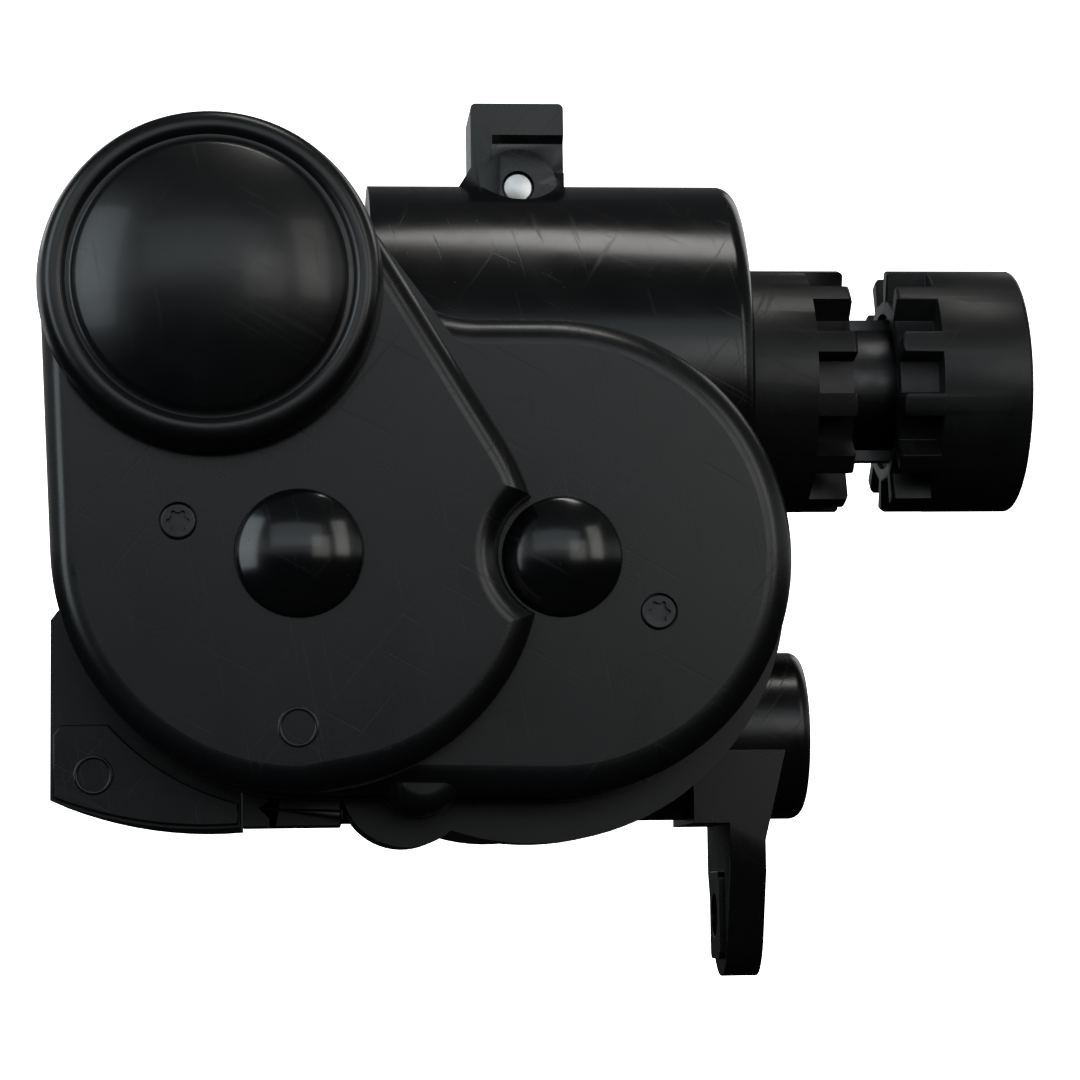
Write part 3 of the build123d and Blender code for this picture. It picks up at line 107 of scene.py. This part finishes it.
room_ray = room.nodes.new("ShaderNodeLightPath")
room_mix = room.nodes.new("ShaderNodeMixShader")
room_out = room.nodes.new("ShaderNodeOutputWorld")
room.links.new(room_ray.outputs["Is Camera Ray"], room_mix.inputs["Fac"])
room.links.new(room_light.outputs[0], room_mix.inputs[1])
room.links.new(white_view.outputs[0], room_mix.inputs[2])
room.links.new(room_mix.outputs[0], room_out.inputs[0])


def soft_light(name, side, height, away, wide, tall, glow, tint):
    """A soft panel at a compass angle and height, in degrees, lit to an even glow."""
    middle = (cad_box[0] + cad_box[1]) / 2
    lamp = bpy.data.lights.new(name, "AREA")
    lamp.shape = "RECTANGLE"
    lamp.size = wide
    lamp.size_y = tall
    lamp.energy = glow * pi * wide * tall
    lamp.color = tint
    holder = bpy.data.objects.new(name, lamp)
    out = Vector((
        sin(radians(side)) * cos(radians(height)),
        -cos(radians(side)) * cos(radians(height)),
        sin(radians(height)),
    ))
    facing = (-out).to_track_quat("-Z", "Y").to_matrix().to_4x4()
    holder.matrix_world = Matrix.Translation(middle + out * away) @ facing
    bpy.context.scene.collection.objects.link(holder)


soft_light("window_left", -54, 14, 1.2, 0.46, 1.0, 2.1, (0.84, 0.95, 1.0))
soft_light("window_right", 42, 18, 1.2, 0.30, 0.70, 1.7, (1.0, 0.99, 0.95))
soft_light("front_panel", -4, 22, 1.5, 1.4, 0.60, 0.7, (0.84, 0.95, 1.0))
soft_light("right_panel", 20, 10, 1.4, 0.42, 0.5, 1.1, (1.0, 0.98, 0.92))
soft_light("roof_panel", 46, 77, 1.2, 0.22, 0.50, 5.5, (1.0, 0.99, 0.95))
soft_light("back_left", -140, 30, 1.3, 0.8, 0.6, 0.9, (0.97, 0.99, 1.0))
soft_light("back_right", 140, 30, 1.3, 0.8, 0.6, 0.9, (1.0, 0.99, 0.97))

floor_mesh = bpy.data.meshes.new("floor")
floor_bm = bmesh.new()
bmesh.ops.create_grid(floor_bm, x_segments=1, y_segments=1, size=6.0)
bmesh.ops.translate(floor_bm, vec=(0, 0, -0.19), verts=floor_bm.verts)
floor_bm.to_mesh(floor_mesh)
floor_bm.free()
floor = bpy.data.objects.new("floor", floor_mesh)
bpy.context.scene.collection.objects.link(floor)
floor_paint = bpy.data.materials.new("floor_paint")
floor_paint.use_nodes = True
floor_skin = floor_paint.node_tree.nodes["Principled BSDF"]
floor_skin.inputs["Base Color"].default_value = (0.9, 0.9, 0.9, 1)
floor_skin.inputs["Roughness"].default_value = 0.8
floor_skin.inputs["Emission Color"].default_value = (1, 1, 1, 1)
floor_skin.inputs["Emission Strength"].default_value = 3.0
floor_mesh.materials.append(floor_paint)
floor.visible_glossy = False
floor.visible_diffuse = False

# ---------------------------------------------------------------- gearbox case
# The case, worm barrel and front cover are injection moulded in black filled
# nylon. Mould texture, rubbed patches and hairline scratches show on the gloss.


def node_group(name, wanted_in, wanted_out):
    group = bpy.data.node_groups.new(name, "ShaderNodeTree")
    for label, kind, value in wanted_in:
        socket = group.interface.new_socket(label, in_out="INPUT", socket_type=kind)
        socket.default_value = value
    for label, kind in wanted_out:
        group.interface.new_socket(label, in_out="OUTPUT", socket_type=kind)
    return group, group.nodes.new("NodeGroupInput"), group.nodes.new("NodeGroupOutput")


def wire(tree, start, end):
    tree.links.new(start, end)


def maths(tree, kind, first, second):
    node = tree.nodes.new("ShaderNodeMath")
    node.operation = kind
    for socket, value in zip(node.inputs, (first, second)):
        if isinstance(value, (int, float)):
            socket.default_value = value
        else:
            tree.links.new(value, socket)
    return node.outputs[0]


# moulded_skin gives a fine mould grain, cloudy rubbing and hairline scratches
moulded_skin, skin_in, skin_out = node_group(
    "moulded_skin",
    [
        ("Grain Scale", "NodeSocketFloat", 2600.0),
        ("Grain", "NodeSocketFloat", 0.5),
        ("Rub Scale", "NodeSocketFloat", 60.0),
        ("Scratch", "NodeSocketFloat", 0.5),
    ],
    [
        ("Rub", "NodeSocketFloat"),
        ("Scratch Mask", "NodeSocketFloat"),
        ("Dust", "NodeSocketFloat"),
        ("Height", "NodeSocketFloat"),
    ],
)
place = moulded_skin.nodes.new("ShaderNodeTexCoord")
grain = moulded_skin.nodes.new("ShaderNodeTexNoise")
grain.inputs["Detail"].default_value = 3.0
wire(moulded_skin, place.outputs["Object"], grain.inputs["Vector"])
wire(moulded_skin, skin_in.outputs["Grain Scale"], grain.inputs["Scale"])
rub = moulded_skin.nodes.new("ShaderNodeTexNoise")
rub.inputs["Detail"].default_value = 5.0
rub.inputs["Roughness"].default_value = 0.62
rub.inputs["Distortion"].default_value = 0.6
wire(moulded_skin, place.outputs["Object"], rub.inputs["Vector"])
wire(moulded_skin, skin_in.outputs["Rub Scale"], rub.inputs["Scale"])
hair_sum = None
for angle, long in ((0.5, 0.05), (-0.9, 0.08), (1.4, 0.04)):
    slant = moulded_skin.nodes.new("ShaderNodeMapping")
    slant.vector_type = "TEXTURE"
    slant.inputs["Rotation"].default_value = (0.1, angle, 0.2)
    slant.inputs["Scale"].default_value = (long, 0.02, 0.0012)
    wire(moulded_skin, place.outputs["Object"], slant.inputs["Vector"])
    hair = moulded_skin.nodes.new("ShaderNodeTexNoise")
    hair.inputs["Scale"].default_value = 1.6
    hair.inputs["Detail"].default_value = 2.0
    wire(moulded_skin, slant.outputs[0], hair.inputs["Vector"])
    line = moulded_skin.nodes.new("ShaderNodeMapRange")
    line.inputs["From Min"].default_value = 0.655
    line.inputs["From Max"].default_value = 0.70
    wire(moulded_skin, hair.outputs["Fac"], line.inputs["Value"])
    hair_sum = line.outputs[0] if hair_sum is None else maths(
        moulded_skin, "MAXIMUM", hair_sum, line.outputs[0]
    )
scratch = maths(moulded_skin, "MULTIPLY", hair_sum, skin_in.outputs["Scratch"])
speck = moulded_skin.nodes.new("ShaderNodeTexVoronoi")
speck.inputs["Scale"].default_value = 420.0
wire(moulded_skin, place.outputs["Object"], speck.inputs["Vector"])
speck_dot = maths(moulded_skin, "LESS_THAN", speck.outputs["Distance"], 0.075)
speck_some = maths(moulded_skin, "GREATER_THAN", rub.outputs["Fac"], 0.53)
dust = maths(moulded_skin, "MULTIPLY", speck_dot, speck_some)
grain_height = maths(moulded_skin, "MULTIPLY", grain.outputs["Fac"], skin_in.outputs["Grain"])
height = maths(moulded_skin, "SUBTRACT", grain_height, maths(moulded_skin, "MULTIPLY", scratch, 0.8))
wire(moulded_skin, rub.outputs["Fac"], skin_out.inputs["Rub"])
wire(moulded_skin, scratch, skin_out.inputs["Scratch Mask"])
wire(moulded_skin, dust, skin_out.inputs["Dust"])
wire(moulded_skin, height, skin_out.inputs["Height"])


def black_plastic(name, dark, worn, rough, grain_scale, grain, rub_scale, scratch, depth, coat=0.0):
    """A moulded plastic: dark and worn colours, (low, high) roughness, bump depth in metres."""
    plastic = bpy.data.materials.new(name)
    plastic.use_nodes = True
    tree = plastic.node_tree
    shader = tree.nodes["Principled BSDF"]
    skin = tree.nodes.new("ShaderNodeGroup")
    skin.node_tree = moulded_skin
    skin.inputs["Grain Scale"].default_value = grain_scale
    skin.inputs["Grain"].default_value = grain
    skin.inputs["Rub Scale"].default_value = rub_scale
    skin.inputs["Scratch"].default_value = scratch
    tint = tree.nodes.new("ShaderNodeMix")
    tint.data_type = "RGBA"
    tint.inputs["A"].default_value = (*dark, 1)
    tint.inputs["B"].default_value = (*worn, 1)
    marks = maths(tree, "MAXIMUM", skin.outputs["Scratch Mask"], skin.outputs["Dust"])
    tone = maths(tree, "MULTIPLY", skin.outputs["Rub"], 0.55)
    wire(tree, maths(tree, "ADD", tone, maths(tree, "MULTIPLY", marks, 0.45)), tint.inputs["Factor"])
    wire(tree, tint.outputs["Result"], shader.inputs["Base Color"])
    gloss = tree.nodes.new("ShaderNodeMapRange")
    gloss.inputs["From Min"].default_value = 0.3
    gloss.inputs["From Max"].default_value = 0.7
    gloss.inputs["To Min"].default_value = rough[0]
    gloss.inputs["To Max"].default_value = rough[1]
    wire(tree, skin.outputs["Rub"], gloss.inputs["Value"])
    rougher = maths(tree, "ADD", gloss.outputs[0], maths(tree, "MULTIPLY", marks, 0.18))
    wire(tree, rougher, shader.inputs["Roughness"])
    bump = tree.nodes.new("ShaderNodeBump")
    bump.inputs["Strength"].default_value = 0.6
    bump.inputs["Distance"].default_value = depth
    wire(tree, skin.outputs["Height"], bump.inputs["Height"])
    wire(tree, bump.outputs[0], shader.inputs["Normal"])
    shader.inputs["Coat Weight"].default_value = coat
    shader.inputs["Coat Roughness"].default_value = 0.12
    shader.inputs["Specular IOR Level"].default_value = 0.5
    return plastic


def wear(node, material):
    """Gives a CAD node's object one material."""
    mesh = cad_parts[node].data
    mesh.materials.clear()
    mesh.materials.append(material)


def shown(name, bm, material, body, slot, *nodes):
    """Makes a finished piece from a bmesh, riding on a body in place of CAD nodes."""
    mesh = bpy.data.meshes.new(name)
    bm.to_mesh(mesh)
    bm.free()
    mesh.materials.append(material)
    for face in mesh.polygons:
        face.use_smooth = True
    mesh.set_sharp_from_angle(angle=radians(38))
    piece = bpy.data.objects.new(name, mesh)
    bpy.context.scene.collection.objects.link(piece)
    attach(piece, body)
    if nodes:
        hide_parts(*nodes)
    return piece


def rounded_copy(node, name, material, body, slot, width, segments=2):
    """The node's own shape with the small radii that moulding or tumbling gives its edges."""
    bm = bmesh.new()
    bm.from_mesh(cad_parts[node].data)
    bmesh.ops.remove_doubles(bm, verts=bm.verts, dist=2e-6)
    bmesh.ops.dissolve_limit(bm, angle_limit=radians(0.6), verts=bm.verts, edges=bm.edges)
    piece = shown(name, bm, material, body, slot, node)
    soften = piece.modifiers.new("edge_radius", "BEVEL")
    soften.width = width * mm
    soften.segments = segments
    soften.limit_method = "ANGLE"
    soften.angle_limit = radians(30)


case_black = black_plastic(
    "case_black", (0.0053, 0.0055, 0.0063), (0.0105, 0.0107, 0.0116), (0.26, 0.38),
    2600, 0.5, 55, 0.35, 0.00002,
)
barrel_black = black_plastic(
    "barrel_black", (0.0053, 0.0055, 0.0063), (0.0099, 0.0102, 0.0110), (0.15, 0.25),
    3000, 0.35, 45, 0.45, 0.000015,
)
rounded_copy("rear_housing", "rear_case", case_black, "housing", "case_plastic", 0.4)
rounded_copy("worm_barrel", "barrel", barrel_black, "housing", "case_plastic", 0.35)
wear("barrel_end_plug", case_black)

# ---------------------------------------------------------------- front cover
# One glossy moulding over the gears, on two levels, glued and screwed to the
# case through a thin rubber gasket.
cover_black = black_plastic(
    "cover_black", (0.0057, 0.0060, 0.0067), (0.0113, 0.0116, 0.0127), (0.22, 0.34),
    2300, 0.55, 38, 0.5, 0.00002, 0.1,
)
wear("front_cover", cover_black)
gasket_black = black_plastic(
    "gasket_black", (0.006, 0.006, 0.006), (0.012, 0.012, 0.012), (0.6, 0.75),
    1800, 0.8, 90, 0.0, 0.00003,
)
for soft in ("cover_gasket", "cap_seal", "shaft_seal"):
    wear(soft, gasket_black)
rounded_copy("corner_cover", "corner_panel", cover_black, "housing", "case_plastic", 0.25)
rounded_copy("housing_latch", "latch", case_black, "housing", "case_plastic", 0.3)

# ---------------------------------------------------------------- mould marks
# Two plain rings stand proud of the cover and the corner panel where the mould
# was marked. They are part of the mouldings, in the same black nylon.
mark_r = 3.4


def spun(rings, centre, steps=72, closed=True):
    """Turns a (radius, y) outline, in millimetres, about a Y axis through centre."""
    bm = bmesh.new()
    corners = [bm.verts.new((centre[0] + r * mm, y * mm, centre[1])) for r, y in rings]
    ends = corners[1:] + (corners[:1] if closed else [])
    edges = [bm.edges.new((a, b)) for a, b in zip(corners, ends)]
    bmesh.ops.spin(
        bm, geom=corners + edges, cent=(centre[0], 0, centre[1]), axis=(0, 1, 0),
        angle=2 * pi, steps=steps, use_merge=True,
    )
    bmesh.ops.remove_doubles(bm, verts=bm.verts, dist=1e-7)
    bmesh.ops.recalc_face_normals(bm, faces=bm.faces)
    return bm


def mould_mark(name, centre, face_y):
    base, shoulder, top = face_y + 0.1, face_y - 0.16, face_y - 0.26
    outline = [
        (mark_r - 0.7, base), (mark_r - 0.68, shoulder), (mark_r - 0.55, top),
        (mark_r - 0.15, top), (mark_r - 0.02, shoulder), (mark_r, base),
    ]
    shown(name, spun(outline, centre), cover_black, "housing", "cover_plastic")


cover_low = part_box("front_cover")[0]
panel_low, panel_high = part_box("corner_cover")
mould_mark("cover_mark", (cover_low[0] + 43.2 * mm, cover_low[2] + 14.5 * mm), cover_low[1] / mm)
mould_mark("panel_mark", (panel_low[0] + 6.9 * mm, panel_high[2] - 8.6 * mm), panel_low[1] / mm)

# ---------------------------------------------------------------- motor cap
# A round lid moulded in black nylon, with a rim, a groove and a shallow
# polished crown. It is pressed over the motor's opening with a rubber seal.
cap_black = black_plastic(
    "cap_black", (0.0045, 0.0047, 0.0053), (0.0094, 0.0096, 0.0105), (0.26, 0.38),
    2600, 0.3, 50, 0.35, 0.000012, 0.2,
)
cap_low, cap_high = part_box("motor_cap")
cap_front = cap_low[1] / mm
cap_back = cap_high[1] / mm
cap_r = (cap_high[0] - cap_low[0]) / 2 / mm
crown_r = cap_r - 6.9
crown_rise = 5.6
crown_steps = 12
crown_ball = (crown_r**2 + crown_rise**2) / (2 * crown_rise)
crown = []
for step in range(crown_steps + 1):
    out = crown_r * step / crown_steps
    crown.append((out, cap_front + crown_ball - sqrt(crown_ball**2 - out**2)))
rim = cap_front + crown_rise + 0.3
cap_outline = crown + [
    (cap_r - 6.5, rim - 0.05), (cap_r - 6.1, rim + 0.55), (cap_r - 5.6, rim + 0.85),
    (cap_r - 5.0, rim + 0.85), (cap_r - 4.6, rim + 0.5), (cap_r - 4.2, rim + 0.12),
    (cap_r - 3.7, rim), (cap_r - 3.0, rim), (cap_r - 2.3, rim + 0.15),
    (cap_r - 1.7, rim + 0.5), (cap_r - 1.2, rim + 1.0), (cap_r - 0.9, rim + 1.7),
    (cap_r - 0.6, rim + 2.8), (cap_r, rim + 6.0), (cap_r - 0.1, rim + 6.4),
    (cap_r - 0.6, rim + 6.7), (cap_r - 0.6, cap_back - 3.0), (cap_r - 4.75, cap_back - 3.0),
    (cap_r - 4.75, cap_back), (cap_r - 7.0, cap_back), (cap_r - 7.0, rim + 2.5),
    (cap_r - 10.9, rim + 0.7), (0.0, rim - 1.5),
]
cap_centre = ((cap_low[0] + cap_high[0]) / 2, (cap_low[2] + cap_high[2]) / 2)
shown("cap", spun(cap_outline, cap_centre, 192), cap_black, "housing", "cover_plastic", "motor_cap")

# ---------------------------------------------------------------- bearing caps
# Polished round caps over the ends of the two gear shafts, each held by one
# blackened screw.
button_black = black_plastic(
    "button_black", (0.0040, 0.0043, 0.0047), (0.0077, 0.0080, 0.0088), (0.13, 0.22),
    2600, 0.25, 60, 0.5, 0.00001, 0.3,
)


button_rise = 3.2
button_edge = 0.9
button_wall = 0.6
button_steps = 16


def crowned(node, bearing, name, radius):
    """The node's plate and wall under a crown with a rounded rim, centred on its bearing."""
    low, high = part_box(bearing)
    centre = ((low[0] + high[0]) / 2, (low[2] + high[2]) / 2)
    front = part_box(node)[0][1] / mm
    foot = front + button_rise
    ball = (radius**2 + button_rise**2) / (2 * button_rise)
    outline = [
        (radius, foot + button_wall), (radius - 0.05, foot + 0.25),
        (radius - 0.18, foot - 0.03), (radius - 0.45, foot - 0.3),
    ]
    for step in range(button_steps, -1, -1):
        out = (radius - button_edge) * step / button_steps
        outline.append((out, front + ball - sqrt(ball**2 - out**2)))
    bm = spun(outline, centre, 128, False)
    top = bpy.data.meshes.new(name + "_top")
    bm.to_mesh(top)
    bm.free()
    bm = bmesh.new()
    bm.from_mesh(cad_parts[node].data)
    bmesh.ops.bisect_plane(
        bm, geom=bm.verts[:] + bm.edges[:] + bm.faces[:], dist=1e-7,
        plane_co=(0, (foot + button_wall) * mm, 0), plane_no=(0, -1, 0), clear_outer=True,
    )
    bm.from_mesh(top)
    shown(name, bm, button_black, "housing", "cap_plastic", node)


crowned("first_bearing_cap", "axle_bearing", "first_cap", 10.6)
crowned("second_bearing_cap", "worm_bearing_front", "second_cap", 10.1)

# ---------------------------------------------------------------- dog rings
# The lock ring on the barrel and the sliding sleeve are moulded in a duller
# glass-filled plastic, with square dogs all round.
dog_black = black_plastic(
    "dog_black", (0.0065, 0.0065, 0.0069), (0.0132, 0.0132, 0.0138), (0.34, 0.48),
    1900, 0.9, 80, 0.4, 0.00003,
)
rounded_copy("lock_ring", "lock_dogs", dog_black, "housing", "dog_plastic", 0.3)
rounded_copy("clutch_sleeve", "sleeve_dogs", dog_black, "sleeve", "dog_plastic", 0.3)

# ---------------------------------------------------------------- lever
# A moulded nylon tube that turns in two bushes in the case. The cranked lever is
# fixed on it, with a flanged bush pressed into its eye.
tube_black = black_plastic(
    "tube_black", (0.0053, 0.0055, 0.0060), (0.0110, 0.0113, 0.0121), (0.2, 0.32),
    2500, 0.5, 50, 0.5, 0.00002,
)
rounded_copy("lever_tube", "tube", tube_black, "lever", "tube_plastic", 0.3)
rounded_copy("lever_arm", "lever", tube_black, "lever", "tube_plastic", 0.5, 3)
rounded_copy("lever_eye_bush", "eye_bush", tube_black, "lever", "tube_plastic", 0.2)


# ---------------------------------------------------------------- metal parts
# Ground steel pins and shafts, pressed or clipped in place, blackened screws,
# a plated motor can, and sintered bronze bearings, worm wheel and pinion.
def metal(name, bright, dull, rough, ring_axis):
    """Turned metal with fine tool rings across ring_axis and a few dull patches."""
    stock = bpy.data.materials.new(name)
    stock.use_nodes = True
    tree = stock.node_tree
    shader = tree.nodes["Principled BSDF"]
    place = tree.nodes.new("ShaderNodeTexCoord")
    rings = tree.nodes.new("ShaderNodeTexWave")
    rings.bands_direction = ring_axis
    rings.inputs["Scale"].default_value = 900.0
    rings.inputs["Distortion"].default_value = 1.5
    rings.inputs["Detail"].default_value = 2.0
    wire(tree, place.outputs["Object"], rings.inputs["Vector"])
    patch = tree.nodes.new("ShaderNodeTexNoise")
    patch.inputs["Scale"].default_value = 260.0
    patch.inputs["Detail"].default_value = 4.0
    wire(tree, place.outputs["Object"], patch.inputs["Vector"])
    tint = tree.nodes.new("ShaderNodeMix")
    tint.data_type = "RGBA"
    tint.inputs["A"].default_value = (*bright, 1)
    tint.inputs["B"].default_value = (*dull, 1)
    wire(tree, patch.outputs["Fac"], tint.inputs["Factor"])
    wire(tree, tint.outputs["Result"], shader.inputs["Base Color"])
    shader.inputs["Metallic"].default_value = 1.0
    wire(tree, maths(tree, "ADD", maths(tree, "MULTIPLY", patch.outputs["Fac"], 0.22), rough),
         shader.inputs["Roughness"])
    bump = tree.nodes.new("ShaderNodeBump")
    bump.inputs["Strength"].default_value = 0.35
    bump.inputs["Distance"].default_value = 0.00001
    wire(tree, rings.outputs["Fac"], bump.inputs["Height"])
    wire(tree, bump.outputs[0], shader.inputs["Normal"])
    return stock


pin_steel = metal("pin_steel", (0.82, 0.82, 0.81), (0.55, 0.55, 0.54), 0.14, "Y")
shaft_steel = metal("shaft_steel", (0.7, 0.7, 0.7), (0.45, 0.45, 0.45), 0.2, "X")
black_steel = metal("black_steel", (0.09, 0.09, 0.095), (0.04, 0.04, 0.042), 0.28, "Y")
can_steel = metal("can_steel", (0.6, 0.6, 0.61), (0.42, 0.42, 0.43), 0.25, "Y")
bronze = metal("bronze", (0.62, 0.42, 0.2), (0.42, 0.27, 0.12), 0.25, "Y")
rounded_copy("lug_pin", "pin", pin_steel, "housing", "pin_steel", 0.15)
for node in ("cover_screw_left", "cover_screw_right", "case_screw_lower", "case_screw_left"):
    wear(node, black_steel)
for node in ("output_shaft", "sleeve_key_upper", "sleeve_key_lower"):
    wear(node, black_steel)
for node in ("wheel_circlip", "motor_shaft", "first_axle", "worm_shaft"):
    wear(node, shaft_steel)
wear("motor_can", can_steel)
for node in ("worm_wheel", "output_bearing_left", "output_bearing_right", "worm_bearing_front",
             "worm_bearing_rear", "axle_bearing", "commutator", "motor_pinion"):
    wear(node, bronze)

# ---------------------------------------------------------------- inside parts
# Moulded nylon gears and end bell, acetal bushes, ferrite magnets glued in the
# can, carbon brushes and the laminated rotor.
gear_nylon = black_plastic(
    "gear_nylon", (0.62, 0.6, 0.52), (0.72, 0.7, 0.63), (0.35, 0.5), 1500, 0.4, 70, 0.2, 0.00002
)
acetal = black_plastic(
    "acetal", (0.2, 0.2, 0.19), (0.3, 0.3, 0.28), (0.35, 0.5), 1500, 0.4, 70, 0.2, 0.00002
)
ferrite = black_plastic(
    "ferrite", (0.04, 0.04, 0.043), (0.08, 0.08, 0.083), (0.5, 0.65), 1100, 1.0, 120, 0.1, 0.00005
)
for node in ("first_gear", "second_gear", "motor_end_bell"):
    wear(node, gear_nylon)
for node in ("tube_bush_left", "tube_bush_right"):
    wear(node, acetal)
for node in ("magnet_left", "magnet_right", "brush_left", "brush_right", "rotor_core"):
    wear(node, ferrite)
